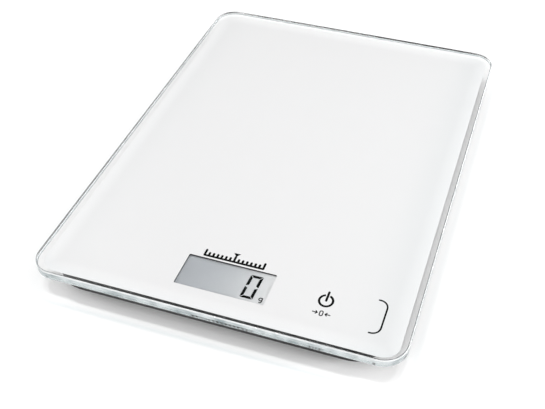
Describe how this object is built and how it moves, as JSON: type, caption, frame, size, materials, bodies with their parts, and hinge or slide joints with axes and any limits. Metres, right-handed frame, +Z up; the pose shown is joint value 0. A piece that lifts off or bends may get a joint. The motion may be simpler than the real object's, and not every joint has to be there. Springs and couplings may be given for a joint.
{
  "type": "kitchen scale",
  "caption": "Slim digital kitchen scale with a white glass platform, a front display window, a touch key and four weighing feet.",
  "frame": {"origin": "on the surface the scale stands on, under the middle of the platform", "axes": "+X to the right, +Y to the back, +Z up; the display is at the front, towards -Y"},
  "size_m": [0.187, 0.247, 0.0165],
  "materials": {
    "glass": "clear tempered, polished edges",
    "white_print": "smooth enamel",
    "black_print": "smooth enamel",
    "tape": "matt",
    "housing_plastic": "fine moulded texture",
    "grey_plastic": "fine moulded texture",
    "ivory_plastic": "matt",
    "black_plastic": "matt",
    "foam": "matt foam",
    "elastomer": "matt",
    "steel": "bright",
    "cell_steel": "nickel plated",
    "gold_contact": "gold plated",
    "copper_foil": "bare copper",
    "board_green": "solder mask",
    "display_glass": "thin glass",
    "display_grey": "reflective polariser",
    "ceramic_tan": "matt",
    "gauge_film": "film",
    "sealant": "satin",
    "wire_red": "satin",
    "wire_white": "satin",
    "wire_black": "satin",
    "pad_rubber": "matt, non-slip"
  },
  "bodies": {
    "scale_body": {"glass_platform": "glass", "white_backprint": "white_print", "printed_symbols": "black_print", "adhesive_frame": "tape", "base_housing": "housing_plastic", "support_pads": "foam", "battery_cell": "steel", "battery_contact_positive": "gold_contact", "battery_contact_negative": "gold_contact", "battery_leads": "wire_red", "tactile_switch": "black_plastic", "main_board": "board_green", "board_screws": "steel", "display_glass": "display_glass", "display_polariser": "display_grey", "display_segments": "black_print", "display_bezel": "black_plastic", "display_gasket": "foam", "zebra_connectors": "elastomer", "controller_chip": "black_plastic", "chip_leads": "steel", "small_components": "ceramic_tan", "crystal_can": "steel", "touch_spring": "steel", "touch_electrode": "copper_foil", "strain_gauges": "gauge_film", "gauge_coatings": "sealant", "load_cell_screws": "steel", "load_cell_wires_red": "wire_red", "load_cell_wires_white": "wire_white", "load_cell_wires_black": "wire_black", "solder_joints": "steel", "load_cell_front_left": "cell_steel", "load_cell_front_right": "cell_steel", "load_cell_rear_left": "cell_steel", "load_cell_rear_right": "cell_steel"},
    "battery_cap": {"battery_cap": "housing_plastic"},
    "unit_button": {"unit_button": "grey_plastic", "switch_plunger": "ivory_plastic"},
    "foot_front_left": {"foot_cap_front_left": "grey_plastic", "foot_pad_front_left": "pad_rubber"},
    "foot_front_right": {"foot_cap_front_right": "grey_plastic", "foot_pad_front_right": "pad_rubber"},
    "foot_rear_left": {"foot_cap_rear_left": "grey_plastic", "foot_pad_rear_left": "pad_rubber"},
    "foot_rear_right": {"foot_cap_rear_right": "grey_plastic", "foot_pad_rear_right": "pad_rubber"}
  },
  "joints": [
    {"name": "foot_press_front_left", "type": "slide", "parent": "scale_body", "child": "foot_front_left", "axis": [0, 0, 1], "range_m": [0, 0.0003], "stiffness_N_per_m": 1000, "deforming": ["load_cell_front_left"]},
    {"name": "foot_press_front_right", "type": "slide", "parent": "scale_body", "child": "foot_front_right", "axis": [0, 0, 1], "range_m": [0, 0.0003], "stiffness_N_per_m": 1000, "deforming": ["load_cell_front_right"]},
    {"name": "foot_press_rear_left", "type": "slide", "parent": "scale_body", "child": "foot_rear_left", "axis": [0, 0, 1], "range_m": [0, 0.0003], "stiffness_N_per_m": 1000, "deforming": ["load_cell_rear_left"]},
    {"name": "foot_press_rear_right", "type": "slide", "parent": "scale_body", "child": "foot_rear_right", "axis": [0, 0, 1], "range_m": [0, 0.0003], "stiffness_N_per_m": 1000, "deforming": ["load_cell_rear_right"]},
    {"name": "unit_button_press", "type": "slide", "parent": "scale_body", "child": "unit_button", "axis": [0, 0, 1], "range_m": [0, 0.00025], "stiffness_N_per_m": 4000},
    {"name": "battery_cap_turn", "type": "hinge", "parent": "scale_body", "child": "battery_cap", "pos_m": [0, -0.06, 0.003], "axis": [0, 0, 1], "range_deg": [0, 40]}
  ]
}
